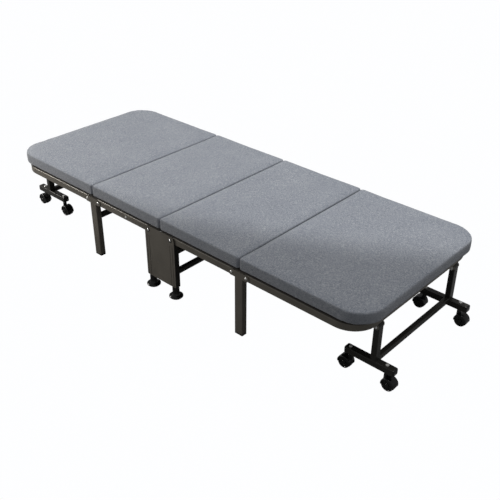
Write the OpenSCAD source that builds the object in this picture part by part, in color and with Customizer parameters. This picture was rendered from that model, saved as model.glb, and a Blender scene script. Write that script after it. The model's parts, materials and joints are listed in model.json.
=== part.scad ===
// Folding cot: four padded sections on a steel tube frame that folds up in the middle.
// X runs from the head end (-X) to the foot end (+X), Y across the bed, Z up.
// The origin lies on the floor under the middle of the bed, which is drawn unfolded.
// Right is the -Y side and left is the +Y side.

/* [Bed] */
// Overall length of the four pads
bed_length = 1900; // [1860:5:1960]
// Overall width of the pads
bed_width = 740; // [700:5:800]
// Height of the sleeping surface above the floor
sleep_height = 333; // [328:1:345]
// Length of each of the two inner sections
inner_length = 413; // [408:1:420]
// Thickness of the foam pads
pad_thick = 54; // [45:1:56]
// Plan radius of the outer pad corners
pad_corner = 105; // [90:5:120]
// Thickness of the boards under the pads
board_thick = 4; // [3:0.5:6]
// Gap between neighbouring pads
pad_gap = 2; // [1:0.5:4]

/* [Frame tubes] */
// Width of the side rails
rail_w = 20; // [18:1:22]
// Height of the side rails
rail_h = 28; // [26:1:30]
// Wall thickness of every steel tube
wall = 1.5; // [1.2:0.1:2]
// Rounding of the tube edges
tube_round = 3; // [2.5:0.5:4]
// Side of the square cross tubes
cross_size = 20; // [16:1:20]
// How far the end rails sit inside the ends of the pads
end_inset = 22; // [15:1:40]
// Outer bend radius of the end hoops
hoop_bend = 100; // [80:5:110]

/* [Hinges] */
// Distance of the centre pivots from the middle of the bed
centre_pivot = 62; // [58:1:66]
// Distance between the two pivots of a hinge leg
hinge_span = 70; // [69:1:74]
// Width of a hinge leg along the bed
leg_w = 38; // [34:1:38]
// Thickness of the hinge plates
plate_thick = 2; // [1.5:0.5:2]
// Radius of the pivot bolts
bolt_r = 4; // [3:0.5:4]
// Radial play of a pivot bolt in its rail
play = 0.05; // [0.02:0.01:0.1]

/* [Centre frame] */
// Width of the side plates
centre_w = 164; // [156:2:176]
// Height of the lower edge of the plates above the floor
centre_low = 52; // [48:1:60]
// Width of a centre post along the bed
post_w = 32; // [28:1:32]
// Radius of a levelling foot's base
foot_r = 28; // [22:1:30]

/* [Caster frames] */
// Distance of the caster frame pivots from the middle of the bed
caster_pivot = 920; // [915:1:925]
// Height of the caster frame pivots above the floor
caster_pivot_z = 233; // [230:1:234]
// Distance of the uprights from the bed's centre line
upright_y = 244; // [220:1:250]
// Depth of the uprights and bars across the bed
upright_d = 28; // [24:1:28]
// Width of the uprights along the bed
upright_w = 22; // [18:1:22]
// Length of a foot bar with its caps
bar_length = 202; // [190:2:210]
// Underside of the foot bars
bar_z = 67; // [66:1:70]
// Height of the foot bars
bar_h = 25; // [22:1:26]
// Distance between the two casters of a bar
caster_span = 148; // [140:1:152]

/* [Casters] */
// Radius of the caster wheels
wheel_r = 23.5; // [21:0.5:24]
// Width of one wheel of a pair
wheel_w = 11; // [10:1:13]
// How far the wheels trail behind the stem
trail = 15; // [14:1:17]

/* [Hidden] */

// Facets asked for on small and on large arcs
fine = 32;
smooth = 96;
// A length that reaches well past what it cuts
far = 400;

// Heights
board_z = sleep_height - pad_thick - board_thick;
rail_z = board_z - rail_h;
pivot_z = rail_z + rail_h / 2;
cross_z = board_z - cross_size;

// Distances from the centre line of the bed: pads, rails, hinge plates and centre plates
half_pad = bed_width / 2;
rail_out = half_pad - 2;
rail_in = rail_out - rail_w;
plate_gap = 0.5;
leg_out = rail_out + plate_gap + plate_thick;
leg_in = rail_in - plate_gap - plate_thick;
leg_d = leg_out - leg_in;
leg_mid = (leg_out + leg_in) / 2;
rail_mid = (rail_out + rail_in) / 2;
centre_out = half_pad + 1 + plate_thick;
centre_in = half_pad + 1;

// Places along the bed, as distances from its middle
inner_pivot = inner_length - hinge_span / 2;
outer_pivot = inner_length + hinge_span / 2;
rail_end_r = rail_h / 2;
end_solid = 8;
plate_r = rail_end_r - 0.5;
hoop_end = bed_length / 2 - end_inset;
board_start = 6;
board_inset = 1;
inner_cross = [centre_pivot + 44, 202, inner_pivot - 34];
outer_cross = [outer_pivot + 36, 640, 790];

// Centre frame
post_x = centre_w / 2 - post_w / 2;
post_top = rail_z - 1;
post_in = leg_in + plate_thick;
plate_top = sleep_height - pad_thick - 0.3;
centre_tube_z = [104, 195];
plate_corner = 6;
bracket_inset = 1.5;
crease_x = [59, 72];
crease_w = 3;
crease_depth = 1;
crease_high = pivot_z - 24;

// Levelling feet
stem_r = 5;
neck_r = 14;
neck_top = centre_low - 0.5;
rim_h = 10;
edge = 4;
skirt_h = 24;
thread_top = centre_low + 26;
plug_h = 10;
post_y = (post_in + centre_in) / 2;

// Bolt heads and nuts, how far a bolt's end stands past its nut, and how deep its shank runs into its head
head_r = 5.5;
head_h = 3.4;
nut_r = 7.5;
nut_h = 6;
end_past = 2;
head_sink = 1;
small_bolt_r = 3;
small_head_r = [5.5, 4];
small_head_h = 2.6;

// Hinge legs
cap_h = 6;
cap_plug = 14;
head_leg_tube_z = 171;
foot_leg_tube_z = rail_z - cross_size - 1;

// Caster frames
upright_round = upright_w / 2;
upright_in = upright_y - upright_d / 2;
upright_out = upright_y + upright_d / 2;
bar_mid = 904;
bar_cap = 6;
bar_plug = 5;
tie_size = 20;
tie_z = 80;
ear_gap = 0.5;
head_gap = 0.4;
ear_thick = 2.5;
caster_mid = 896;
bar_top = bar_z + bar_h;
bolt_solid = 7;
cap_step = 2;
cap_face = 5;
ear_sink = 2;
stem_sink = 14;
stem_past = 4;
stem_nut_r = 6.5;
stem_nut_h = 3;
collar_r = 8;
collar_gap = 0.5;

// Casters
hood_top = bar_z - 3;
web_half = 4.6;
wheel_in = 5.4;
wheel_out = wheel_in + wheel_w;
axle_r = 3;
axle_half = wheel_out - 3;
socket_r = 8.5;
socket_low = 47.5;
fender_in = wheel_r + 1.2;
fender_out = wheel_r + 2.8;
fender_half = wheel_out + 1;
fender_from = -8;
fender_to = 188;
web_low = 3;
stem_bore_low = hood_top - stem_sink - 1;

steel = [0.31, 0.30, 0.27];
dark_steel = [0.20, 0.20, 0.19];
zinc = [0.80, 0.80, 0.78];
black_plastic = [0.07, 0.07, 0.07];
plywood = [0.30, 0.25, 0.19];
cloth = [0.52, 0.54, 0.58];

// ---------- helpers ----------

// The same shape on the right and on the left side
module both_sides() {
    children();
    mirror([0, 1, 0]) children();
}

// A foot end shape moved to the head end
module at_head() {
    mirror([1, 0, 0]) children();
}

// Rectangle of size w by h, centred, with rounded corners
module rounded_rect(w, h, r) {
    square([w - 2 * r, h], center = true);
    square([w, h - 2 * r], center = true);
    for (x = [-1, 1], y = [-1, 1])
        translate([x * (w / 2 - r), y * (h / 2 - r)]) circle(r = r, $fn = fine);
}

// Tube section of size w by h, or its filled outline
module tube_section(w, h) {
    difference() {
        rounded_rect(w, h, tube_round);
        rounded_rect(w - 2 * wall, h - 2 * wall, tube_round - wall);
    }
}

// Square or flat tube along X, centred on Y and Z
module tube_x(length, w, h) {
    rotate([90, 0, 90]) linear_extrude(length) tube_section(w, h);
}

// Cross tube over the bed's whole inner width, from x outwards, with its underside at z
module cross_tube(x, z, half) {
    translate([x, half, z + cross_size / 2]) rotate([90, 0, 0])
        linear_extrude(2 * half) tube_section(cross_size, cross_size);
}

// Cylinder along Y between two distances from the centre line, on the right side
module pin_y(x, z, r, near, out, fn) {
    translate([x, -near, z]) rotate([90, 0, 0]) cylinder(r = r, h = out - near, $fn = fn);
}

// Domed bolt with a nut along Y on the right side, clamped between near and out
module bolt_y(x, z, r, near, out) {
    dome = (head_r * head_r + head_h * head_h) / (2 * head_h);
    pin_y(x, z, r, near - nut_h - end_past, out + head_sink, fine);
    pin_y(x, z, nut_r, near - nut_h, near, 6);
    translate([x, -out, z]) rotate([90, 0, 0]) intersection() {
        translate([0, 0, head_h - dome]) sphere(r = dome, $fn = smooth);
        cylinder(r = head_r, h = head_h, $fn = fine);
    }
}

// ---------- centre frame ----------

// Flat plate with its two top corners rounded about the pivot bolts
module centre_plate_outline() {
    r = centre_w / 2 - centre_pivot;
    side = plate_top - r;
    translate([-centre_w / 2, centre_low + plate_corner])
        square([centre_w, side - centre_low - plate_corner]);
    translate([plate_corner - centre_w / 2, centre_low])
        square([centre_w - 2 * plate_corner, side - centre_low]);
    translate([-centre_pivot, side]) square([2 * centre_pivot, r]);
    for (x = [-1, 1]) {
        translate([x * centre_pivot, side]) circle(r = r, $fn = smooth);
        translate([x * (centre_w / 2 - plate_corner), centre_low + plate_corner])
            circle(r = plate_corner, $fn = fine);
    }
}

module centre_side_plates() {
    color(steel) both_sides() difference() {
        translate([0, -centre_in, 0]) rotate([90, 0, 0])
            linear_extrude(plate_thick) centre_plate_outline();
        for (x = [-1, 1]) {
            pin_y(x * centre_pivot, pivot_z, bolt_r + play, centre_in - 1, centre_out + 1, fine);
            for (c = crease_x)
                translate([x * c - crease_w / 2, -centre_out - 1, centre_low - 1])
                    cube([crease_w, crease_depth + 1, crease_high - centre_low + 1]);
        }
    }
}

// Post tube, closed at its foot by a plug that is bored for the levelling foot's stem
module centre_post() {
    depth = centre_in - post_in;
    difference() {
        translate([0, 0, centre_low]) linear_extrude(post_top - centre_low)
            rounded_rect(post_w, depth, tube_round);
        translate([0, 0, centre_low + plug_h]) linear_extrude(far)
            rounded_rect(post_w - 2 * wall, depth - 2 * wall, tube_round - wall);
        translate([0, 0, centre_low - 1]) cylinder(r = stem_r + play, h = plug_h + 2, $fn = fine);
    }
}

module centre_posts() {
    color(dark_steel) both_sides() for (x = [-1, 1])
        translate([x * post_x, -post_y, 0]) centre_post();
}

module centre_cross_tubes() {
    color(dark_steel) for (x = [-1, 1]) {
        cross_tube(x * post_x, centre_tube_z[0], post_in);
        cross_tube(x * post_x, centre_tube_z[1], leg_in);
    }
}

// Flat bracket on the inner face of a post, rounded about its pivot bolt
module centre_pivot_brackets() {
    low = centre_tube_z[1];
    color(dark_steel) both_sides() for (x = [-1, 1]) difference() {
        union() {
            pin_y(x * centre_pivot, pivot_z, plate_r, leg_in, post_in, smooth);
            translate([x * centre_pivot - plate_r + bracket_inset, -post_in, low])
                cube([2 * (plate_r - bracket_inset), plate_thick, pivot_z - low]);
        }
        pin_y(x * centre_pivot, pivot_z, bolt_r + play, leg_in - 1, post_in + 1, fine);
    }
}

module centre_pivot_bolts() {
    color(zinc) both_sides() for (x = [-1, 1])
        bolt_y(x * centre_pivot, pivot_z, bolt_r, leg_in, centre_out);
}

// Levelling foot: wide base, thick neck and a stem that screws up into the post
module leveller() {
    color(black_plastic) {
        rotate_extrude($fn = smooth) polygon([[0, 0], [foot_r - edge, 0], [foot_r, edge],
            [foot_r, rim_h - edge / 2], [foot_r - edge / 2, rim_h], [neck_r + edge, rim_h + edge],
            [neck_r + 1, skirt_h - edge], [neck_r, skirt_h], [neck_r, neck_top], [0, neck_top]]);
        translate([0, 0, neck_top]) cylinder(r = stem_r, h = thread_top - neck_top, $fn = fine);
    }
}

module foot_right_leveller() { translate([post_x, -post_y, 0]) leveller(); }
module foot_left_leveller() { translate([post_x, post_y, 0]) leveller(); }
module head_right_leveller() { translate([-post_x, -post_y, 0]) leveller(); }
module head_left_leveller() { translate([-post_x, post_y, 0]) leveller(); }

// ---------- inner sections ----------

// Side view of a rail between two pivots, rounded about each of them
module rail_outline(from, to, r) {
    translate([from, pivot_z - r]) square([to - from, 2 * r]);
    for (x = [from, to]) translate([x, pivot_z]) circle(r = r, $fn = smooth);
}

module inner_rail() {
    from = centre_pivot;
    to = inner_pivot;
    difference() {
        intersection() {
            translate([0, -rail_mid, pivot_z]) rotate([90, 0, 90])
                linear_extrude(inner_length) rounded_rect(rail_w, rail_h, tube_round);
            translate([0, -rail_in, 0]) rotate([90, 0, 0])
                linear_extrude(rail_w) rail_outline(from, to, rail_end_r);
        }
        translate([from + end_solid, -rail_mid, pivot_z]) rotate([90, 0, 90])
            linear_extrude(to - from - 2 * end_solid)
                rounded_rect(rail_w - 2 * wall, rail_h - 2 * wall, tube_round - wall);
        for (x = [from, to]) pin_y(x, pivot_z, bolt_r + play, rail_in - 1, rail_out + 1, fine);
    }
}

module inner_rails() {
    color(steel) both_sides() inner_rail();
}

module inner_cross_tubes() {
    color(dark_steel) for (x = inner_cross) cross_tube(x, cross_z, rail_in);
}

module inner_board() {
    half = rail_out - board_inset;
    color(plywood) translate([board_start, -half, board_z])
        cube([inner_length - pad_gap / 2 - board_start, 2 * half, board_thick]);
}

module inner_pad() {
    color(cloth) translate([pad_gap / 2, -half_pad, sleep_height - pad_thick])
        cube([inner_length - pad_gap, bed_width, pad_thick]);
}

module foot_inner_rails() { inner_rails(); }
module foot_inner_cross_tubes() { inner_cross_tubes(); }
module foot_inner_board() { inner_board(); }
module foot_inner_pad() { inner_pad(); }
module head_inner_rails() {
    difference() {
        at_head() inner_rails();
        both_sides() pin_y(-inner_cross[1], pivot_z, small_bolt_r + play, rail_in - 1,
            rail_out + 1, fine);
    }
}
module head_inner_cross_tubes() { at_head() inner_cross_tubes(); }
module head_inner_board() { at_head() inner_board(); }
module head_inner_pad() { at_head() inner_pad(); }

// Short bolts through the head rails into the middle cross tube's ends
module head_inner_bolts() {
    color(zinc) both_sides() {
        pin_y(-inner_cross[1], pivot_z, small_bolt_r, rail_in, rail_out, fine);
        translate([-inner_cross[1], -rail_out, pivot_z]) rotate([90, 0, 0])
            cylinder(r1 = small_head_r[0], r2 = small_head_r[1], h = small_head_h, $fn = fine);
    }
}

// ---------- hinge legs ----------

// Square leg whose front and back walls widen into plates round the two hinge bolts
module hinge_leg() {
    top = pivot_z + plate_r;
    difference() {
        union() {
            translate([inner_length, -leg_mid, cap_h]) linear_extrude(top - cap_h)
                rounded_rect(leg_w, leg_d, tube_round);
            for (y = [-leg_in, -leg_out + plate_thick])
                translate([0, y, 0]) rotate([90, 0, 0]) linear_extrude(plate_thick)
                    rail_outline(inner_pivot, outer_pivot, plate_r);
        }
        translate([inner_length, -leg_mid, cap_h - 1]) linear_extrude(top - cap_h - 1)
            rounded_rect(leg_w - 2 * wall, leg_d - 2 * wall, tube_round - wall);
        for (x = [inner_pivot, outer_pivot])
            pin_y(x, pivot_z, bolt_r + play, leg_in - 1, leg_out + 1, fine);
    }
}

module hinge_legs() {
    color(steel) both_sides() hinge_leg();
}

module hinge_leg_caps() {
    color(black_plastic) both_sides() translate([inner_length, -leg_mid, 0]) {
        linear_extrude(cap_h) rounded_rect(leg_w, leg_d, tube_round);
        linear_extrude(cap_h + cap_plug)
            rounded_rect(leg_w - 2 * wall, leg_d - 2 * wall, tube_round - wall);
    }
}

module hinge_bolts() {
    color(zinc) both_sides() for (x = [inner_pivot, outer_pivot])
        bolt_y(x, pivot_z, bolt_r, leg_in, leg_out);
}

module foot_hinge_legs() { hinge_legs(); }
module foot_hinge_leg_tube() {
    color(dark_steel) cross_tube(inner_length, foot_leg_tube_z, leg_in);
}
module foot_hinge_leg_caps() { hinge_leg_caps(); }
module foot_hinge_bolts() { hinge_bolts(); }
module head_hinge_legs() { at_head() hinge_legs(); }
module head_hinge_leg_tube() {
    color(dark_steel) cross_tube(-inner_length, head_leg_tube_z, leg_in);
}
module head_hinge_leg_caps() { at_head() hinge_leg_caps(); }
module head_hinge_bolts() { at_head() hinge_bolts(); }

// ---------- outer sections ----------

// Swept section of the end hoop: straight side, quarter bend and half of the end rail
module hoop_half(w, h, r, from) {
    bend = hoop_bend - rail_w / 2;
    corner_x = hoop_end - hoop_bend;
    corner_y = rail_out - hoop_bend;
    translate([from, -rail_mid, pivot_z]) rotate([90, 0, 90])
        linear_extrude(corner_x - from) rounded_rect(w, h, r);
    translate([corner_x, -corner_y, pivot_z]) rotate([0, 0, -90])
        rotate_extrude(angle = 90, $fn = smooth) translate([bend, 0]) rounded_rect(w, h, r);
    translate([hoop_end - rail_w / 2, 0, pivot_z]) rotate([90, 0, 0])
        linear_extrude(corner_y) rounded_rect(w, h, r);
}

module hoop_side() {
    difference() {
        intersection() {
            hoop_half(rail_w, rail_h, tube_round, outer_pivot - rail_end_r);
            union() {
                translate([outer_pivot, -far, 0]) cube([far * 2, far, far]);
                pin_y(outer_pivot, pivot_z, rail_end_r, rail_in - 1, rail_out + 1, smooth);
            }
        }
        hoop_half(rail_w - 2 * wall, rail_h - 2 * wall, tube_round - wall, outer_pivot + end_solid);
        pin_y(outer_pivot, pivot_z, bolt_r + play, rail_in - 1, rail_out + 1, fine);
    }
}

// Pair of ears under the end rail that hold one caster frame pivot
module hoop_ears() {
    for (near = [upright_in - ear_gap - ear_thick, upright_out + ear_gap]) difference() {
        union() {
            pin_y(caster_pivot, caster_pivot_z, upright_round, near, near + ear_thick, smooth);
            translate([caster_pivot - upright_round, -near - ear_thick, caster_pivot_z])
                cube([hoop_end - ear_sink - caster_pivot + upright_round, ear_thick,
                    rail_z + 1 - caster_pivot_z]);
        }
        pin_y(caster_pivot, caster_pivot_z, bolt_r + play, near - 1, near + ear_thick + 1, fine);
    }
}

module outer_hoop() {
    color(steel) both_sides() {
        hoop_side();
        hoop_ears();
    }
}

module outer_cross_tubes() {
    color(dark_steel) for (x = outer_cross) cross_tube(x, cross_z, rail_in);
}

// Plan outline with two rounded corners at the end of the bed
module end_outline(from, to, half, r) {
    translate([from, -half]) square([to - r - from, 2 * half]);
    translate([to - r - 1, r - half]) square([r + 1, 2 * (half - r)]);
    for (y = [-1, 1]) translate([to - r, y * (half - r)]) circle(r = r, $fn = smooth);
}

module outer_board() {
    inset = end_inset - 4;
    color(plywood) translate([0, 0, board_z]) linear_extrude(board_thick)
        end_outline(inner_length + pad_gap / 2, bed_length / 2 - inset, rail_out - board_inset,
            hoop_bend);
}

module outer_pad() {
    color(cloth) translate([0, 0, sleep_height - pad_thick]) linear_extrude(pad_thick)
        end_outline(inner_length + pad_gap / 2, bed_length / 2, half_pad, pad_corner);
}

module foot_outer_hoop() { outer_hoop(); }
module foot_outer_cross_tubes() { outer_cross_tubes(); }
module foot_outer_board() { outer_board(); }
module foot_outer_pad() { outer_pad(); }
module head_outer_hoop() { at_head() outer_hoop(); }
module head_outer_cross_tubes() { at_head() outer_cross_tubes(); }
module head_outer_board() { at_head() outer_board(); }
module head_outer_pad() { at_head() outer_pad(); }

// ---------- caster frames ----------

module caster_uprights() {
    low = bar_top;
    color(dark_steel) both_sides() difference() {
        union() {
            translate([caster_pivot, -upright_y, low]) linear_extrude(caster_pivot_z - low)
                rounded_rect(upright_w, upright_d, tube_round);
            pin_y(caster_pivot, caster_pivot_z, upright_round, upright_in, upright_out, smooth);
        }
        translate([caster_pivot, -upright_y, low - 1]) linear_extrude(caster_pivot_z - low - bolt_solid)
            rounded_rect(upright_w - 2 * wall, upright_d - 2 * wall, tube_round - wall);
        pin_y(caster_pivot, caster_pivot_z, bolt_r, upright_in - 1, upright_out + 1, fine);
    }
}

module caster_bars() {
    color(dark_steel) both_sides() difference() {
        translate([bar_mid - bar_length / 2 + bar_cap, -upright_y, bar_z + bar_h / 2])
            tube_x(bar_length - 2 * bar_cap, upright_d, bar_h);
        for (x = [-1, 1]) translate([caster_mid + x * caster_span / 2, -upright_y, bar_z - 1])
            cylinder(r = stem_r + play, h = bar_h + 2, $fn = fine);
    }
}

module caster_tie_tube() {
    color(dark_steel) translate([caster_pivot, upright_in, tie_z + tie_size / 2])
        rotate([90, 0, 0]) linear_extrude(2 * upright_in) tube_section(tie_size, tie_size);
}

// Rounded plastic plug at each end of the foot bars
module caster_bar_caps() {
    color(black_plastic) both_sides() for (x = [-1, 1])
        translate([bar_mid + x * (bar_length / 2 - bar_cap), -upright_y, bar_z + bar_h / 2])
            rotate([90, 0, x * 90]) {
                linear_extrude(bar_cap - cap_step) rounded_rect(upright_d, bar_h, tube_round);
                linear_extrude(bar_cap)
                    rounded_rect(upright_d - cap_face, bar_h - cap_face, tube_round);
                translate([0, 0, -bar_plug]) linear_extrude(bar_plug + 1)
                    rounded_rect(upright_d - 2 * wall, bar_h - 2 * wall, tube_round - wall);
            }
}

// Two pivot bolts, and four caster stems each with a nut on top of its bar
module caster_fasteners() {
    ear_in = upright_in - ear_gap - ear_thick - head_gap;
    ear_out = upright_out + ear_gap + ear_thick + head_gap;
    color(zinc) both_sides() {
        bolt_y(caster_pivot, caster_pivot_z, bolt_r, ear_in, ear_out);
        for (x = [-1, 1]) translate([caster_mid + x * caster_span / 2, -upright_y, 0]) {
            translate([0, 0, hood_top - stem_sink])
                cylinder(r = stem_r, h = bar_top + stem_past + stem_sink - hood_top, $fn = fine);
            translate([0, 0, bar_top]) cylinder(r = stem_nut_r, h = stem_nut_h, $fn = 6);
            translate([0, 0, hood_top + collar_gap])
                cylinder(r = collar_r, h = bar_z - hood_top - collar_gap, $fn = fine);
        }
    }
}

module foot_caster_uprights() { caster_uprights(); }
module foot_caster_bars() { caster_bars(); }
module foot_caster_tie_tube() { caster_tie_tube(); }
module foot_caster_bar_caps() { caster_bar_caps(); }
module foot_caster_fasteners() { caster_fasteners(); }
module head_caster_uprights() { at_head() caster_uprights(); }
module head_caster_bars() { at_head() caster_bars(); }
module head_caster_tie_tube() { at_head() caster_tie_tube(); }
module head_caster_bar_caps() { at_head() caster_bar_caps(); }
module head_caster_fasteners() { at_head() caster_fasteners(); }

// ---------- casters ----------
// A caster is drawn with its stem on the Z axis and its wheels trailing towards +X.

// Sector of a ring about the axle, from one angle to another
module fender_outline() {
    reach = 2 * fender_out;
    intersection() {
        difference() {
            circle(r = fender_out, $fn = smooth);
            circle(r = fender_in, $fn = smooth);
        }
        polygon([[0, 0], for (a = [fender_from : (fender_to - fender_from) / 4 : fender_to])
            [reach * cos(a), reach * sin(a)]]);
    }
}

// Hood: a web between the wheels, a socket for the stem and a fender over the treads
module hood() {
    color(black_plastic) difference() {
        union() {
            translate([trail, web_half, wheel_r]) rotate([90, 0, 0]) linear_extrude(2 * web_half)
                circle(r = (fender_in + fender_out) / 2, $fn = smooth);
            translate([trail, fender_half, wheel_r]) rotate([90, 0, 0])
                linear_extrude(2 * fender_half) fender_outline();
            translate([0, 0, socket_low]) cylinder(r = socket_r, h = hood_top - socket_low,
                $fn = fine);
            translate([-socket_r, -web_half, wheel_r]) cube([2 * socket_r, 2 * web_half,
                socket_low + 3 - wheel_r]);
        }
        translate([0, 0, stem_bore_low]) cylinder(r = stem_r + play, h = far, $fn = fine);
        translate([-far / 2, -far / 2, web_low - far]) cube([far, far, far]);
        pin_y(trail, wheel_r, axle_r, -far, far, fine);
    }
    color(zinc) pin_y(trail, wheel_r, axle_r, -axle_half, axle_half, fine);
}

// Half section of one wheel: rim, sunken face and a hub bored for the axle from inside
module wheel_section() {
    rim = 4;
    dish = 2.5;
    hub = 8;
    difference() {
        translate([0, wheel_in]) square([wheel_r, wheel_w]);
        translate([hub, wheel_out - dish]) square([wheel_r - rim - hub, dish + 1]);
        translate([-1, wheel_in - 1]) square([1 + axle_r + play, axle_half - wheel_in + 1.5]);
    }
}

module wheels() {
    color(black_plastic) translate([trail, 0, wheel_r]) both_sides() rotate([90, 0, 0])
        rotate_extrude($fn = smooth) wheel_section();
}

// A child at the stem of a caster: end +1 foot or -1 head, side -1 right or +1 left,
// place +1 for the caster nearer the end of the bed and -1 for the other one
module caster_at(end, side, place) {
    translate([end * (caster_mid + place * caster_span / 2), side * upright_y, 0])
        mirror([end * place < 0 ? 1 : 0, 0, 0]) children();
}

module foot_right_outer_hood() { caster_at(1, -1, 1) hood(); }
module foot_right_outer_wheels() { caster_at(1, -1, 1) wheels(); }
module foot_right_inner_hood() { caster_at(1, -1, -1) hood(); }
module foot_right_inner_wheels() { caster_at(1, -1, -1) wheels(); }
module foot_left_outer_hood() { caster_at(1, 1, 1) hood(); }
module foot_left_outer_wheels() { caster_at(1, 1, 1) wheels(); }
module foot_left_inner_hood() { caster_at(1, 1, -1) hood(); }
module foot_left_inner_wheels() { caster_at(1, 1, -1) wheels(); }
module head_right_outer_hood() { caster_at(-1, -1, 1) hood(); }
module head_right_outer_wheels() { caster_at(-1, -1, 1) wheels(); }
module head_right_inner_hood() { caster_at(-1, -1, -1) hood(); }
module head_right_inner_wheels() { caster_at(-1, -1, -1) wheels(); }
module head_left_outer_hood() { caster_at(-1, 1, 1) hood(); }
module head_left_outer_wheels() { caster_at(-1, 1, 1) wheels(); }
module head_left_inner_hood() { caster_at(-1, 1, -1) hood(); }
module head_left_inner_wheels() { caster_at(-1, 1, -1) wheels(); }

// ---------- nodes ----------

centre_side_plates();
centre_posts();
centre_cross_tubes();
centre_pivot_brackets();
centre_pivot_bolts();
foot_right_leveller();
foot_left_leveller();
head_right_leveller();
head_left_leveller();
foot_inner_rails();
foot_inner_cross_tubes();
foot_inner_board();
foot_inner_pad();
head_inner_rails();
head_inner_cross_tubes();
head_inner_board();
head_inner_pad();
head_inner_bolts();
foot_hinge_legs();
foot_hinge_leg_tube();
foot_hinge_leg_caps();
foot_hinge_bolts();
head_hinge_legs();
head_hinge_leg_tube();
head_hinge_leg_caps();
head_hinge_bolts();
foot_outer_hoop();
foot_outer_cross_tubes();
foot_outer_board();
foot_outer_pad();
head_outer_hoop();
head_outer_cross_tubes();
head_outer_board();
head_outer_pad();
foot_caster_uprights();
foot_caster_bars();
foot_caster_tie_tube();
foot_caster_bar_caps();
foot_caster_fasteners();
head_caster_uprights();
head_caster_bars();
head_caster_tie_tube();
head_caster_bar_caps();
head_caster_fasteners();
foot_right_outer_hood();
foot_right_outer_wheels();
foot_right_inner_hood();
foot_right_inner_wheels();
foot_left_outer_hood();
foot_left_outer_wheels();
foot_left_inner_hood();
foot_left_inner_wheels();
head_right_outer_hood();
head_right_outer_wheels();
head_right_inner_hood();
head_right_inner_wheels();
head_left_outer_hood();
head_left_outer_wheels();
head_left_inner_hood();
head_left_inner_wheels();
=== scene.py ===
import json
import math

import bmesh
import bpy
import numpy as np
from mathutils import Matrix, Vector


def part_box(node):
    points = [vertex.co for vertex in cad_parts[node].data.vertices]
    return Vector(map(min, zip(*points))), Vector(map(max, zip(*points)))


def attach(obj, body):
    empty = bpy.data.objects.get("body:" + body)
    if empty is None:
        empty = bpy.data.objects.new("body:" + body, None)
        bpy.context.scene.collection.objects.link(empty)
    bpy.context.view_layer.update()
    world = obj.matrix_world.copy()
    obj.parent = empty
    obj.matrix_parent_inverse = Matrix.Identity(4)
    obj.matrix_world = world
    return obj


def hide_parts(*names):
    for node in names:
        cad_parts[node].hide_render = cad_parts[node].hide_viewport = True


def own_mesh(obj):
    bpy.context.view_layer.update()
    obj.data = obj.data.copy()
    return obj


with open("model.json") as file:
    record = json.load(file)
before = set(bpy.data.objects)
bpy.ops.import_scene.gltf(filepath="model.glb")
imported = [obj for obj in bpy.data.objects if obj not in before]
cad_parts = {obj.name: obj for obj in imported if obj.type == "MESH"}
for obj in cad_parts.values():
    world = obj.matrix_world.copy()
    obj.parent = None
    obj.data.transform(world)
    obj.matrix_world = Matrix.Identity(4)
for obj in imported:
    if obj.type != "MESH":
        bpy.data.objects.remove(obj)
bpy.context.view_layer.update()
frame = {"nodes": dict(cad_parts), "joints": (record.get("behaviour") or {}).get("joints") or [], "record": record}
scene = bpy.context.scene
nodes = frame["nodes"]
joints = {j["name"]: j for j in frame["joints"]}
ENDS = ("foot", "head")
SIDES = ("right", "left")
PLACES = ("outer", "inner")


# ---------- camera, floor and light ----------

# Camera: azimuth, elevation and roll in degrees, then its place.
VIEW = (42.09, 31.29, 0.48)
EYE = (1.9196, -1.9782, 1.7036)
LENS = 54.0
SENSOR = 36.0
FLOOR_HALF = 14
FLOOR_DROP = 0.0004
# The key light shines straight down on a disk. The disk's edge makes the soft shade on the foot pad.
LIT_CENTRE = (-1.24, 3.44, 0.33)
LIT_RADIUS = 4.03
KEY_THROW = 8
# Name, place, target, width, power and colour of each area light.
AREA_LIGHTS = (
    ("overhead", (1.1, 0.7, 4.2), (0, 0, 0.3), 2.6, 68, (1, 1, 1)),
    ("front", (-1.7, -1.3, 0.75), (-0.75, -0.37, 0.25), 0.7, 13.0, (1.0, 0.95, 0.88)),
    ("glint", (-1.9, -1.15, 1.15), (-0.9, -0.35, 0.1), 0.35, 25, (1, 1, 1)),
)


def add_to_scene(name, data):
    o = bpy.data.objects.new(name, data)
    scene.collection.objects.link(o)
    return o


def make_camera():
    az, el, roll = (math.radians(a) for a in VIEW)
    back = Vector((math.sin(az) * math.cos(el), -math.cos(az) * math.cos(el), math.sin(el)))
    right = Vector((0, 0, 1)).cross(back).normalized()
    up = back.cross(right)
    x = right * math.cos(roll) + up * math.sin(roll)
    y = up * math.cos(roll) - right * math.sin(roll)
    m = Matrix((x, y, back)).transposed().to_4x4()
    m.translation = EYE
    data = bpy.data.cameras.new("camera")
    data.lens = LENS
    data.sensor_width = SENSOR
    data.clip_end = 60
    cam = add_to_scene("camera", data)
    cam.matrix_world = m
    scene.camera = cam


def make_floor():
    """A pale floor that gives bounce light. The camera sees the white backdrop in its place."""
    mesh = bpy.data.meshes.new("floor")
    s = FLOOR_HALF
    mesh.from_pydata([(-s, -s, 0), (s, -s, 0), (s, s, 0), (-s, s, 0)], [], [(0, 1, 2, 3)])
    floor = add_to_scene("floor", mesh)
    floor.location.z = -FLOOR_DROP
    m = bpy.data.materials.new("pale_floor")
    m.use_nodes = True
    shader = m.node_tree.nodes["Principled BSDF"]
    for socket, value in (("Base Color", (0.22, 0.22, 0.22, 1)), ("Roughness", 0.8),
                          ("Specular IOR Level", 0.1), ("Emission Color", (1, 1, 1, 1)),
                          ("Emission Strength", 0.02)):
        shader.inputs[socket].default_value = value
    mesh.materials.append(m)
    floor.visible_camera = False


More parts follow.
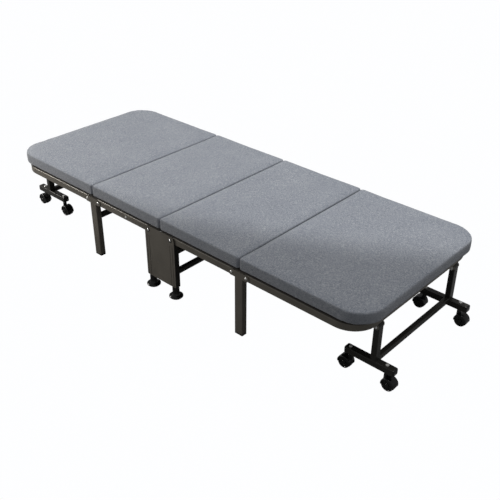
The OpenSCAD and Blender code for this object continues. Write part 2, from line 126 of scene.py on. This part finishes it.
def make_backdrop(seen=1.0, unseen=0.24):
    """A white world, bright where the camera sees it and dimmer for the light that it gives."""
    world = bpy.data.worlds.new("studio")
    scene.world = world
    world.use_nodes = True
    tree = world.node_tree
    background = tree.nodes["Background"]
    background.inputs["Color"].default_value = (0.988, 0.992, 1.0, 1)
    path = tree.nodes.new("ShaderNodeLightPath")
    strength = tree.nodes.new("ShaderNodeMapRange")
    strength.inputs["To Min"].default_value = unseen
    strength.inputs["To Max"].default_value = seen
    tree.links.new(path.outputs["Is Camera Ray"], strength.inputs["Value"])
    tree.links.new(strength.outputs["Result"], background.inputs["Strength"])


def make_lights():
    for name, place, target, size, power, color in AREA_LIGHTS:
        data = bpy.data.lights.new(name, "AREA")
        data.shape = "DISK"
        data.size = size
        data.energy = power
        data.color = color
        o = add_to_scene(name, data)
        o.location = place
        o.rotation_euler = (Vector(target) - Vector(place)).to_track_quat("-Z", "Y").to_euler()
        o.visible_diffuse = name != "glint"
    key = bpy.data.lights.new("key", "SPOT")
    key.energy = 1600
    key.shadow_soft_size = 0.08
    key.spot_size = 2 * math.atan(LIT_RADIUS / KEY_THROW)
    key.spot_blend = 0.055
    add_to_scene("key", key).location = Vector(LIT_CENTRE) + Vector((0, 0, KEY_THROW))


make_camera()
make_floor()
make_backdrop()
make_lights()
scene.view_settings.view_transform = "Standard"


# ---------- materials ----------

def grey(value):
    return (value, value, value)


class Graph:
    """Small helper that adds and joins shader nodes. Noise scales are in repeats per metre."""

    def __init__(self, name):
        self.mat = bpy.data.materials.new(name)
        self.mat.use_nodes = True
        self.tree = self.mat.node_tree
        self.shader = self.tree.nodes["Principled BSDF"]

    def add(self, kind, **values):
        n = self.tree.nodes.new(kind)
        for k, v in values.items():
            if k.startswith("in_"):
                n.inputs[k[3:].replace("_", " ")].default_value = v
            else:
                setattr(n, k, v)
        return n

    def link(self, a, b):
        self.tree.links.new(a, b)

    def feed(self, socket, source):
        """Joins a node's output to one of the shader's sockets."""
        self.link(source, self.shader.inputs[socket])

    def fix(self, socket, value):
        """Sets one of the shader's sockets to a constant."""
        self.shader.inputs[socket].default_value = value

    def coords(self):
        return self.add("ShaderNodeTexCoord").outputs["Object"]

    def scaled(self, source, scale):
        n = self.add("ShaderNodeMapping")
        n.inputs["Scale"].default_value = scale
        self.link(source, n.inputs["Vector"])
        return n.outputs["Vector"]

    def noise(self, source, scale, detail=2.0, rough=0.5):
        n = self.add("ShaderNodeTexNoise", in_Scale=scale, in_Detail=detail, in_Roughness=rough)
        self.link(source, n.inputs["Vector"])
        return n.outputs["Fac"]

    def ramp(self, fac, stops):
        n = self.add("ShaderNodeValToRGB")
        el = n.color_ramp.elements
        while len(el) < len(stops):
            el.new(0.5)
        for e, (at, c) in zip(el, stops):
            e.position = at
            e.color = (*c, 1)
        self.link(fac, n.inputs["Fac"])
        return n.outputs["Color"]

    def math(self, op, a, b=None):
        n = self.add("ShaderNodeMath", operation=op)
        for i, v in enumerate((a, b)):
            if v is None:
                continue
            if isinstance(v, (int, float)):
                n.inputs[i].default_value = v
            else:
                self.link(v, n.inputs[i])
        return n.outputs["Value"]

    def mix(self, fac, a, b, blend="MIX"):
        """Mixes two colours. A Mix node's inputs 0, 6 and 7 are its factor and colours, output 2 a colour."""
        n = self.add("ShaderNodeMix", data_type="RGBA", blend_type=blend)
        for k, v in ((0, fac), (6, a), (7, b)):
            if isinstance(v, (int, float)):
                n.inputs[k].default_value = v
            elif isinstance(v, tuple):
                n.inputs[k].default_value = (*v, 1)
            else:
                self.link(v, n.inputs[k])
        return n.outputs[2]

    def bump(self, height, strength, distance, under=None):
        n = self.add("ShaderNodeBump", in_Strength=strength, in_Distance=distance)
        self.link(height, n.inputs["Height"])
        if under is not None:
            self.link(under, n.inputs["Normal"])
        return n.outputs["Normal"]

    def edge_mask(self, radius, low, high):
        """1 on sharp edges and 0 on flat faces, from how far a rounded normal leaves the true one."""
        bevel = self.add("ShaderNodeBevel", samples=4, in_Radius=radius)
        geo = self.add("ShaderNodeNewGeometry")
        dot = self.add("ShaderNodeVectorMath", operation="DOT_PRODUCT")
        self.link(bevel.outputs["Normal"], dot.inputs[0])
        self.link(geo.outputs["Normal"], dot.inputs[1])
        away = self.math("SUBTRACT", 1.0, dot.outputs["Value"])
        n = self.add("ShaderNodeMapRange")
        n.inputs["From Min"].default_value = low
        n.inputs["From Max"].default_value = high
        self.link(away, n.inputs["Value"])
        return n.outputs["Result"]


def powder_coat(name, base, light, rough):
    """Satin powder coat: fine orange peel, cloudy tone, slightly rubbed edges."""
    g = Graph(name)
    co = g.coords()
    tone = g.ramp(g.noise(co, 9.0, 3.0), [(0.3, base), (0.7, light)])
    speck = g.ramp(g.noise(co, 900.0, 1.0), [(0.35, grey(0.86)), (0.65, grey(1.1))])
    tone = g.mix(1.0, tone, speck, "MULTIPLY")
    rubbed = g.ramp(g.noise(co, 38.0, 3.0), [(0.42, grey(0)), (0.62, grey(0.55))])
    patchy = g.math("MULTIPLY", g.edge_mask(0.0012, 0.02, 0.2), rubbed)
    g.feed("Base Color", g.mix(patchy, tone, (0.30, 0.29, 0.27)))
    smudge = [(0.3, grey(rough - 0.06)), (0.75, grey(rough + 0.1))]
    g.feed("Roughness", g.ramp(g.noise(co, 16.0, 4.0), smudge))
    g.fix("Metallic", 0.35)
    g.feed("Normal", g.bump(g.noise(co, 420.0, 2.0), 0.18, 0.0006))
    return g.mat


def zinc_steel():
    """Bright zinc plate with a fine uneven polish."""
    g = Graph("zinc_bolts")
    co = g.coords()
    zincs = [(0.3, (0.78, 0.78, 0.76)), (0.7, (0.93, 0.93, 0.91))]
    g.feed("Base Color", g.ramp(g.noise(co, 240.0, 3.0), zincs))
    g.feed("Roughness", g.ramp(g.noise(co, 500.0, 2.0), [(0.3, grey(0.2)), (0.7, grey(0.36))]))
    g.fix("Metallic", 0.5)
    g.feed("Normal", g.bump(g.noise(co, 700.0, 2.0), 0.12, 0.0003))
    return g.mat


def moulded_plastic():
    """Near-black plastic with a fine moulded texture and uneven gloss."""
    g = Graph("moulded_plastic")
    co = g.coords()
    blacks = [(0.3, (0.004, 0.004, 0.0042)), (0.75, (0.008, 0.008, 0.0083))]
    g.feed("Base Color", g.ramp(g.noise(co, 26.0, 3.0), blacks))
    g.feed("Roughness", g.ramp(g.noise(co, 60.0, 3.0), [(0.3, grey(0.16)), (0.75, grey(0.28))]))
    g.feed("Normal", g.bump(g.noise(co, 1500.0, 1.0), 0.15, 0.0003))
    return g.mat


def board_wood():
    """Dark faced board with a faint long grain."""
    g = Graph("board_face")
    grain = g.noise(g.scaled(g.coords(), (6, 90, 90)), 3.0, 5.0, 0.6)
    g.feed("Base Color", g.ramp(grain, [(0.3, (0.020, 0.017, 0.014)), (0.7, (0.045, 0.037, 0.030))]))
    g.fix("Roughness", 0.75)
    g.feed("Normal", g.bump(grain, 0.3, 0.0004))
    return g.mat


def woven_cover():
    """Plain weave of mixed blue-grey and light threads, with a slow drift of tone."""
    thread_scale = 120.0
    weave_pitch = 0.0016
    g = Graph("woven_cover")
    co = g.coords()
    warp = g.noise(g.scaled(co, (1, 9, 9)), thread_scale, 2.0, 0.6)
    weft = g.noise(g.scaled(co, (9, 1, 9)), thread_scale, 2.0, 0.6)
    thread = g.math("MULTIPLY", g.math("ADD", warp, weft), 0.5)
    heather = g.ramp(thread, [(0.37, (0.124, 0.140, 0.175)), (0.5, (0.244, 0.262, 0.299)),
                              (0.61, (0.46, 0.475, 0.505))])
    drift = g.ramp(g.noise(co, 5.0, 3.0), [(0.3, (0.93, 0.94, 0.95)), (0.7, (1.05, 1.05, 1.04))])
    tone = g.mix(1.0, heather, drift, "MULTIPLY")
    fleck = g.ramp(g.noise(co, 260.0, 1.0), [(0.30, (0.75, 0.76, 0.79)), (0.45, (1, 1, 1))])
    g.feed("Base Color", g.mix(0.8, tone, fleck, "MULTIPLY"))
    for socket, value in (("Roughness", 0.9), ("Specular IOR Level", 0.25),
                          ("Sheen Weight", 0.25), ("Sheen Roughness", 0.5)):
        g.fix(socket, value)
    split = g.add("ShaderNodeSeparateXYZ")
    g.link(co, split.inputs["Vector"])
    turns = 2 * math.pi / weave_pitch
    wave_x, wave_y, wave_z = (g.math("SINE", g.math("MULTIPLY", split.outputs[k], turns)) for k in range(3))
    on_sides = g.math("MULTIPLY", wave_z, g.math("ADD", wave_x, wave_y))
    weave = g.math("ADD", g.math("MULTIPLY", wave_x, wave_y), on_sides)
    g.feed("Normal", g.bump(thread, 0.5, 0.0012, g.bump(weave, 0.35, 0.0004)))
    return g.mat


def dark_webbing():
    """Near-black ribbed webbing."""
    g = Graph("dark_webbing")
    rib = g.noise(g.scaled(g.coords(), (1, 14, 1)), 90.0, 2.0)
    g.feed("Base Color", g.ramp(rib, [(0.35, (0.010, 0.010, 0.011)), (0.65, (0.022, 0.022, 0.024))]))
    g.fix("Roughness", 0.9)
    g.feed("Normal", g.bump(rib, 0.4, 0.0004))
    return g.mat


steel = powder_coat("frame_coat", (0.143, 0.131, 0.111), (0.185, 0.169, 0.143), 0.38)
dark_steel = powder_coat("dark_frame_coat", (0.026, 0.0245, 0.022), (0.038, 0.036, 0.032), 0.28)
zinc = zinc_steel()
plastic = moulded_plastic()
board = board_wood()
cloth = woven_cover()
webbing = dark_webbing()
BY_SLOT = {"frame_paint": steel, "dark_frame_paint": dark_steel, "bolts": zinc,
           "black_plastic": plastic, "board": board, "woven_cover": cloth}


# ---------- mesh helpers ----------

def make_object(name, verts, faces, material, smooth_angle=40):
    mesh = bpy.data.meshes.new(name)
    mesh.from_pydata(verts, [], faces)
    bm = bmesh.new()
    bm.from_mesh(mesh)
    bmesh.ops.remove_doubles(bm, verts=bm.verts, dist=1e-6)
    bmesh.ops.recalc_face_normals(bm, faces=bm.faces)
    bm.to_mesh(mesh)
    bm.free()
    shade(mesh, smooth_angle)
    mesh.materials.append(material)
    return add_to_scene(name, mesh)


def shade(mesh, angle):
    mesh.polygons.foreach_set("use_smooth", [True] * len(mesh.polygons))
    mesh.set_sharp_from_angle(angle=math.radians(angle))


def lathe(profile, steps=48):
    """Verts and faces of a profile of (radius, height) turned about Z. Ends on the axis are closed."""
    verts, faces = [], []
    for i in range(steps):
        a = 2 * math.pi * i / steps
        verts += [(r * math.cos(a), r * math.sin(a), h) for r, h in profile]
    n = len(profile)
    for i in range(steps):
        j = (i + 1) % steps
        for k in range(n - 1):
            a, b, c, d = i * n + k, j * n + k, j * n + k + 1, i * n + k + 1
            if profile[k][0] < 1e-9:
                faces.append((a, c, d))
            elif profile[k + 1][0] < 1e-9:
                faces.append((a, b, d))
            else:
                faces.append((a, b, c, d))
    return verts, faces


def arc(cx, cy, r, start, end, count):
    """Points on an arc, angles in degrees, ends included."""
    angles = [math.radians(start + (end - start) * i / count) for i in range(count + 1)]
    return [(cx + r * math.cos(a), cy + r * math.sin(a)) for a in angles]


def merge(parts):
    """Joins lists of (verts, faces) into one."""
    verts, faces = [], []
    for v, f in parts:
        k = len(verts)
        verts += v
        faces += [tuple(i + k for i in face) for face in f]
    return verts, faces


def moved(part, matrix):
    return [tuple(matrix @ Vector(p)) for p in part[0]], part[1]


def skin(rings):
    """Verts and faces of a closed form through rings of points, ends capped."""
    n = len(rings[0])
    verts = [p for ring in rings for p in ring]
    faces = [(i * n + k, i * n + (k + 1) % n, (i + 1) * n + (k + 1) % n, (i + 1) * n + k)
             for i in range(len(rings) - 1) for k in range(n)]
    faces += [tuple(range(n)), tuple((len(rings) - 1) * n + k for k in range(n))]
    return verts, faces


def sweep(section, frames):
    """Closed section of (u, v) points carried along frames of (origin, u axis, v axis), ends capped."""
    return skin([[tuple(o + u * a + v * b) for a, b in section] for o, u, v in frames])


# ---------- pads ----------

# Clear space beside a joint between pads and under a pad.
JOINT_GAP = 0.0002
# Plan radii: the bed's four outer corners, a shell's other corners, and those once it has swollen.
END_CORNER = 0.105
TIGHT_CORNER = 0.008
FITTED_CORNER = 0.009
# The shell before it swells: smaller than its space by the inset, with a rounded top edge.
SHELL_INSET = 0.003
SHELL_EDGE = 0.006
VOXEL = 0.006
CLOTH_FRAMES = 20
SWELL_CAP = 0.0045
# How far the crown stands above the CAD pad.
CROWN = 0.0012
# The tightened edges: a superellipse's power, and how far it reaches from the corner.
EDGE_POWER = 4.0
TOP_REACH = 0.010
BOTTOM_REACH = 0.005
# The seam round the side, measured down from the top.
SEAM_DROP = 0.0125
SEAM_HALF = 0.0028
SEAM_DEPTH = 0.0007
# Height of the slow wave on the top.
WAVE = 0.0006


def outline(x0, x1, half, radii, step=0.006):
    """Plan outline of a pad, going round from the corner at (x1, -half). radii are its corners'."""
    corners = ((x1, -half, -90), (x1, half, 0), (x0, half, 90), (x0, -half, 180))
    pts = []
    for (x, y, a), r in zip(corners, radii):
        cx = x - math.copysign(r, x - (x0 + x1) / 2)
        cy = y - math.copysign(r, y)
        pts += arc(cx, cy, r, a, a + 90, max(4, int(r * 1.57 / step)))
    return pts


def pad_shell(x0, x1, half, z0, z1, radii, edge):
    """Closed slab with its top edge rounded by edge and its lower edge by less.

    Rings can differ by a point at a round corner. That shears the faces a little, and the remesh evens
    it out.
    """
    def ring(inset, z):
        pts = outline(x0 + inset, x1 - inset, half - inset, [max(0.003, r - inset) for r in radii])
        return [(x, y, z) for x, y in pts]
    rings = [ring(0.004, z0), ring(0.001, z0 + 0.001), ring(0, z0 + 0.004), ring(0, z1 - edge)]
    rings += [ring(edge - c, z1 - edge + s) for c, s in arc(0, 0, edge, 0, 90, 5)[1:]]
    return skin(rings)


def get_points(mesh):
    co = np.empty(len(mesh.vertices) * 3, np.float32)
    mesh.vertices.foreach_get("co", co)
    return co.reshape(-1, 3).astype(float)


def set_points(mesh, co):
    mesh.vertices.foreach_set("co", co.astype(np.float32).ravel())
    mesh.update()


def apply_all(o):
    dg = bpy.context.evaluated_depsgraph_get()
    dg.update()
    mesh = bpy.data.meshes.new_from_object(o.evaluated_get(dg), depsgraph=dg)
    old = o.data
    o.modifiers.clear()
    o.data = mesh
    bpy.data.meshes.remove(old)


def inflate(o):
    """Remeshes a closed shell and lets it swell as cloth under pressure, each point by at most a cap."""
    remesh = o.modifiers.new("remesh", "REMESH")
    remesh.mode = "VOXEL"
    remesh.voxel_size = VOXEL
    apply_all(o)
    start = get_points(o.data)
    mod = o.modifiers.new("cloth", "CLOTH")
    s = mod.settings
    s.quality = 4
    s.mass = 0.3
    s.tension_stiffness = s.compression_stiffness = 20
    s.bending_stiffness = 2
    s.use_pressure = True
    s.uniform_pressure_force = 4
    s.effector_weights.gravity = 0
    mod.point_cache.frame_start = 1
    mod.point_cache.frame_end = CLOTH_FRAMES
    for f in range(1, CLOTH_FRAMES + 1):
        scene.frame_set(f)
    dg = bpy.context.evaluated_depsgraph_get()
    swell = get_points(o.evaluated_get(dg).data) - start
    o.modifiers.remove(mod)
    scene.frame_set(1)
    size = np.maximum(np.linalg.norm(swell, axis=1, keepdims=True), 1e-9)
    set_points(o.data, start + swell * (SWELL_CAP * np.tanh(size / SWELL_CAP) / size))
    sub = o.modifiers.new("sub", "SUBSURF")
    sub.levels = sub.render_levels = 1
    apply_all(o)


def side_distance(co, lo, hi, corner):
    """How far inside a pad's plan outline each point is, and the outward direction there.

    corner is the plan radius on the bed's end, or 0 where the pad has four tight corners.
    """
    mid = np.array([(lo.x + hi.x) / 2, (lo.y + hi.y) / 2])
    half = np.array([(hi.x - lo.x) / 2, (hi.y - lo.y) / 2])
    d = co[:, :2] - mid
    outer = d[:, 0] * math.copysign(1, mid[0]) > 0
    r = np.where(outer & (corner > 0), corner, FITTED_CORNER)[:, None]
    q = np.abs(d) - (half - r)
    inside = np.minimum(half - np.abs(d), 9)
    along_x = inside[:, 0] < inside[:, 1]
    out = np.where(along_x[:, None], [[1.0, 0.0]], [[0.0, 1.0]]) * np.sign(d)
    dist = inside.min(axis=1)
    round_part = (q > 0).all(axis=1)
    length = np.maximum(np.linalg.norm(q, axis=1), 1e-9)
    out[round_part] = (q / length[:, None] * np.sign(d))[round_part]
    dist[round_part] = (r[:, 0] - length)[round_part]
    return dist, out


def tighten_edge(co, dist, out, level, sign, reach):
    """Pushes the rounded edge at a height outwards, to a tighter curve within reach of the corner."""
    depth = (level - co[:, 2]) * sign
    near = (dist < reach) & (depth < reach)
    u = np.clip((reach - dist[near]) / reach, 0, 1.1)
    v = np.clip((reach - depth[near]) / reach, 0, 1.1)
    power = EDGE_POWER
    grow = np.hypot(u, v) / np.maximum((u ** power + v ** power) ** (1 / power), 1e-6)
    du = np.clip(u * grow, 0, 1) - np.clip(u, 0, 1)
    dv = np.clip(v * grow, 0, 1) - np.clip(v, 0, 1)
    co[near, :2] += out[near] * (du * reach)[:, None]
    co[near, 2] += sign * dv * reach


def shape_pad(mesh, lo, hi, corner, gaps, phase):
    """Fits the swollen pad to its space, tightens its edges and adds a seam and a slow wave to the top."""
    co = get_points(mesh)
    low, high = co.min(0), co.max(0)
    want_low = np.array([lo.x + gaps[0], lo.y, lo.z + JOINT_GAP])
    want_high = np.array([hi.x - gaps[1], hi.y, hi.z + CROWN])
    co = want_low + (co - low) / (high - low) * (want_high - want_low)
    dist, out = side_distance(co, lo, hi, corner)
    tighten_edge(co, dist, out, hi.z, 1, TOP_REACH)
    tighten_edge(co, dist, out, lo.z, -1, BOTTOM_REACH)
    dist, out = side_distance(co, lo, hi, corner)
    seam = np.clip(1 - np.abs(co[:, 2] - (hi.z - SEAM_DROP)) / SEAM_HALF, 0, 1) * (dist < 0.004)
    co[:, :2] -= out * (seam * SEAM_DEPTH)[:, None]
    rise = np.clip((dist - 0.02) / 0.05, 0, 1) * (co[:, 2] > hi.z - 0.02)
    wave = np.sin(co[:, 0] * 23 + phase) * np.sin(co[:, 1] * 17 + 2 * phase)
    wave += 0.6 * np.sin(co[:, 0] * 41 - co[:, 1] * 33)
    co[:, 2] += rise * wave * WAVE
    co[:, 2] = np.maximum(co[:, 2], lo.z + JOINT_GAP)
    co[:, 0] = np.clip(co[:, 0], lo.x + gaps[0], hi.x - gaps[1])
    set_points(mesh, co)


def build_pads():
    """Foot pads are simulated, and the head ones are their mirrored shapes with a wave of their own."""
    for kind in ("inner", "outer"):
        lo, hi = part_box(f"foot_{kind}_pad")
        corner = 0 if kind == "inner" else END_CORNER
        radii = [TIGHT_CORNER] * 4
        if corner:
            radii[:2] = [corner - SHELL_INSET] * 2
        v, f = pad_shell(lo.x + SHELL_INSET, hi.x - SHELL_INSET, (hi.y - lo.y) / 2 - SHELL_INSET,
                         lo.z, hi.z - SHELL_INSET, radii, SHELL_EDGE)
        shell = make_object(f"{kind}_pad_form", v, f, cloth)
        inflate(shell)
        for end in ENDS:
            mesh = shell.data.copy()
            o = add_to_scene(f"{end}_{kind}_cushion", mesh)
            gaps = (JOINT_GAP, JOINT_GAP if corner == 0 else 0.0)
            if end == "head":
                mesh.transform(Matrix.Scale(-1, 4, (1, 0, 0)))
                mesh.flip_normals()
                gaps = gaps[::-1]
            a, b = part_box(f"{end}_{kind}_pad")
            shape_pad(mesh, a, b, corner, gaps, 3.1 if end == "foot" else 7.7)
            mesh.materials.clear()
            mesh.materials.append(cloth)
            shade(mesh, 60)
            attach(o, f"{end}_{kind}_section")
            if kind == "inner":
                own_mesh(o)
            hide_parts(f"{end}_{kind}_pad")
        bpy.data.objects.remove(shell)


# ---------- casters ----------

# One wheel: its width, and the radii and depths of its tread, bore, sunken face and ribs.
WHEEL_W = 0.011
TREAD_ROUND = 0.0032
AXLE_HOLE = 0.0032
FACE_SINK = 0.0026
RIB_HALF = 0.0009
# The hood: its fender runs from FENDER_START round by FENDER_SWEEP, in degrees.
FENDER_GAP = 0.0012
FENDER_WALL = 0.0016
FENDER_LIP = 0.0032
FENDER_ROUND = 0.0026
FENDER_START = -8
FENDER_SWEEP = 196
WEB_HALF = 0.0044
WEB_LOW = 0.0030
PIN_R = 0.003
UPRIGHT = Matrix.Rotation(math.radians(90), 4, "X")


def fit_moulding(o, body, node):
    """Lets a plastic piece ride on a body and stand for a CAD node."""
    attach(o, body)
    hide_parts(node)


def wheel_profile(r, inner, outer):
    """Half section of a wheel: rounded tread, sunken outer face, raised hub cap.

    Points are (radius, height along the axle).
    """
    e = TREAD_ROUND
    pts = [(AXLE_HOLE, inner), (r - e, inner)]
    pts += arc(r - e, inner + e, e, -90, 0, 5)
    pts += arc(r - e, outer - e, e, 0, 90, 5)
    pts += [(r - 0.0050, outer), (r - 0.0058, outer - 0.0006), (r - 0.0066, outer - FACE_SINK)]
    pts += [(0.0088, outer - 0.0030), (0.0080, outer - 0.0010)]
    pts += arc(0.0055, outer - 0.0018, 0.0018, 0, 90, 4)
    pts += [(0.0, outer)]
    return pts


def build_wheels(name, node, body, centre):
    """Two wheels with six ribs each on their outer faces."""
    lo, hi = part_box(node)
    r = (hi.z - lo.z) / 2
    outer = (hi.y - lo.y) / 2
    turned = lathe(wheel_profile(r, outer - WHEEL_W, outer), 56)
    rib_quads = [(0, 1, 3, 2), (4, 6, 7, 5), (0, 4, 5, 1), (2, 3, 7, 6), (0, 2, 6, 4), (1, 5, 7, 3)]
    rib = ([(x, y, z) for z in (outer - 0.0032, outer - 0.0014) for x in (0.0078, r - 0.0062)
            for y in (-RIB_HALF, RIB_HALF)], rib_quads)
    ribs = [moved(rib, Matrix.Rotation(math.radians(60 * k), 4, "Z")) for k in range(6)]
    one = merge([turned, *ribs])
    right = moved(one, UPRIGHT)
    left = moved(one, Matrix.Rotation(math.radians(-90), 4, "X"))
    v, f = moved(merge([right, left]), Matrix.Translation(centre))
    fit_moulding(make_object(name, v, f, plastic, 35), body, node)


def fender_shell(axle, half, inner, outer):
    """Channel section with lips, carried round the top of the wheels."""
    e = FENDER_ROUND
    lip = inner - FENDER_LIP
    section = [(inner, -half + 0.0010), (inner, half - 0.0010), (lip, half - 0.0006), (lip, half)]
    section += arc(outer - e, half - e, e, 90, 0, 5)
    section += arc(outer - e, -half + e, e, 0, -90, 5)
    section += [(lip, -half), (lip, -half + 0.0006)]
    steps = 40
    angles = [math.radians(FENDER_START + FENDER_SWEEP * i / steps) for i in range(steps + 1)]
    frames = [(axle, Vector((math.cos(a), 0, math.sin(a))), Vector((0, 1, 0))) for a in angles]
    return sweep(section[::-1], frames)


def web_plate(axle, radius):
    """Upright plate between the wheels, cut off above the floor."""
    ring = [p for p in arc(axle.x, axle.z, radius, -180, 180, 72)[:-1] if p[1] > WEB_LOW]
    n = len(ring)
    faces = [tuple(range(n)), tuple(range(n, 2 * n))]
    faces += [(i, (i + 1) % n, n + (i + 1) % n, n + i) for i in range(n)]
    return [(x, side, z) for side in (-WEB_HALF, WEB_HALF) for x, z in ring], faces


def stem_boss(axle, top, seat):
    """Tapered boss with a stem hole. Its foot follows the fender, whose radius there is seat."""
    profile = [(0.0, 0.0), (0.0088, 0.0), (0.0086, 0.004), (0.0082, 0.30), (0.0080, 0.85), (0.0077, 0.96),
               (0.0070, 1.0), (0.0051, 1.0), (0.0051, 0.35), (0.0, 0.35)]
    points, faces = lathe(profile, 40)
    seated = []
    for x, y, share in points:
        base = axle.z + math.sqrt(seat ** 2 - (axle.x - x) ** 2)
        seated.append((x, y, base + (top - base) * share))
    return seated, faces


def build_hood(name, node, body, stem, centre):
    """Fender shell, web, stem boss and axle, drawn with the wheels towards +X and then turned."""
    lo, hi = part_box(node)
    wheel_lo, wheel_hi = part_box(node.replace("hood", "wheels"))
    r = (wheel_hi.z - wheel_lo.z) / 2
    half = (hi.y - lo.y) / 2
    inner = r + FENDER_GAP
    outer = inner + FENDER_WALL
    axle = Vector((abs(centre.x - stem.x), 0, r))
    pin = half - 0.004
    axle_pin = moved(lathe([(0, -pin), (PIN_R, -pin), (PIN_R, pin), (0, pin)], 24),
                     Matrix.Translation(axle) @ UPRIGHT)
    pieces = [fender_shell(axle, half, inner, outer), web_plate(axle, inner + 0.0003),
              stem_boss(axle, hi.z, outer - 0.0006), axle_pin]
    spin = Matrix.Rotation(math.pi if centre.x < stem.x else 0, 4, "Z")
    v, f = moved(merge(pieces), Matrix.Translation((stem.x, stem.y, 0)) @ spin)
    fit_moulding(make_object(name, v, f, plastic, 35), body, node)


def build_casters():
    for end in ENDS:
        for side in SIDES:
            for where in PLACES:
                key = f"{end}_{side}_{where}"
                stem = Vector(joints[f"{key}_swivel"]["pos_m"])
                centre = Vector(joints[f"{key}_roll"]["pos_m"])
                build_wheels(f"{key}_twin_wheels", f"{key}_wheels", f"{key}_wheels", centre)
                build_hood(f"{key}_caster_hood", f"{key}_hood", f"{key}_hood", stem, centre)


# ---------- bar caps and small trim ----------

def round_rectangle(w, h, r, n=5):
    """Outline of a w by h rectangle with corners of radius r."""
    pts = []
    for sx, sy, a in ((1, -1, -90), (1, 1, 0), (-1, 1, 90), (-1, -1, 180)):
        pts += arc(sx * (w / 2 - r), sy * (h / 2 - r), r, a, a + 90, n)
    return pts


# Share of a plug's length from the bar, and how far its outline has drawn in there.
PLUG_DOME = ((0.0, 0.0004), (0.06, 0.0), (0.35, 0.0), (0.6, 0.0006), (0.8, 0.0018), (0.93, 0.0036),
             (1.0, 0.0062))
PLUG_CORNER = 0.0042
BAR_DEPTH = 0.028


def end_plug(base, tip, yc, zc, height):
    """Plug from x = base to x = tip with a softly domed face."""
    rings = []
    for share, shrink in PLUG_DOME:
        x = base + (tip - base) * share
        r = max(0.0012, PLUG_CORNER - shrink * 0.4)
        face = round_rectangle(BAR_DEPTH - 2 * shrink, height - 2 * shrink, r)
        rings.append([(x, yc + a, zc + b) for a, b in face])
    return skin(rings)


def build_bar_caps():
    """Plastic end plugs, one piece for each end's four bar ends."""
    for end in ENDS:
        node = f"{end}_caster_bar_caps"
        lo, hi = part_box(node)
        bar_lo, bar_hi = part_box(f"{end}_caster_bars")
        parts = [end_plug(base, tip, yc, (hi.z + lo.z) / 2, hi.z - lo.z)
                 for tip, base in ((hi.x, bar_hi.x), (lo.x, bar_lo.x))
                 for yc in (lo.y + BAR_DEPTH / 2, hi.y - BAR_DEPTH / 2)]
        v, f = merge(parts)
        fit_moulding(make_object(f"{end}_bar_end_plugs", v, f, plastic, 35), f"{end}_caster_frame", node)


def build_washers():
    """Dark plastic washers round the four centre pivot bolts, on the faces of the side plates."""
    lo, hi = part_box("centre_side_plates")
    pivot = joints["foot_inner_fold"]["pos_m"]
    ring = lathe([(0.0056, 0), (0.0082, 0), (0.0084, 0.0005), (0.0078, 0.0012), (0.0058, 0.0013),
                  (0.0056, 0.0009), (0.0056, 0)], 40)
    parts = []
    for x in (-pivot[0], pivot[0]):
        for y, turn in ((lo.y, 90), (hi.y, -90)):
            place = Matrix.Translation((x, y, pivot[2])) @ Matrix.Rotation(math.radians(turn), 4, "X")
            parts.append(moved(ring, place))
    v, f = merge(parts)
    o = make_object("centre_bolt_washers", v, f, plastic, 35)
    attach(o, "centre_frame")


def build_centre_webbing():
    """Dark woven strip that bridges the gap between the inner boards, on a mesh of its own."""
    board_lo, board_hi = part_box("foot_inner_board")
    pad_lo, pad_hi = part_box("foot_inner_pad")
    gap = board_lo.x
    z = board_hi.z - 0.0012
    margin = 0.001
    section = round_rectangle(0.0018, 2 * gap, 0.0007, 3)
    up, along = Vector((0, 0, 1)), Vector((1, 0, 0))
    frames = [(Vector((0, y, z)), up, along) for y in (pad_lo.y + margin, 0, pad_hi.y - margin)]
    v, f = sweep(section, frames)
    o = make_object("centre_webbing", v, f, webbing)
    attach(o, "foot_inner_section")
    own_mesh(o)


# ---------- CAD nodes that stay ----------

def dress_cad_nodes():
    slots = {s["node"]: s["material_slot"] for s in frame["record"]["subparts"]}
    for name, o in nodes.items():
        if o.hide_render:
            continue
        o.data.materials.clear()
        o.data.materials.append(BY_SLOT[slots[name]])
        o.data.polygons.foreach_set("material_index", [0] * len(o.data.polygons))
        shade(o.data, 32)


build_pads()
build_casters()
build_bar_caps()
build_washers()
build_centre_webbing()
dress_cad_nodes()
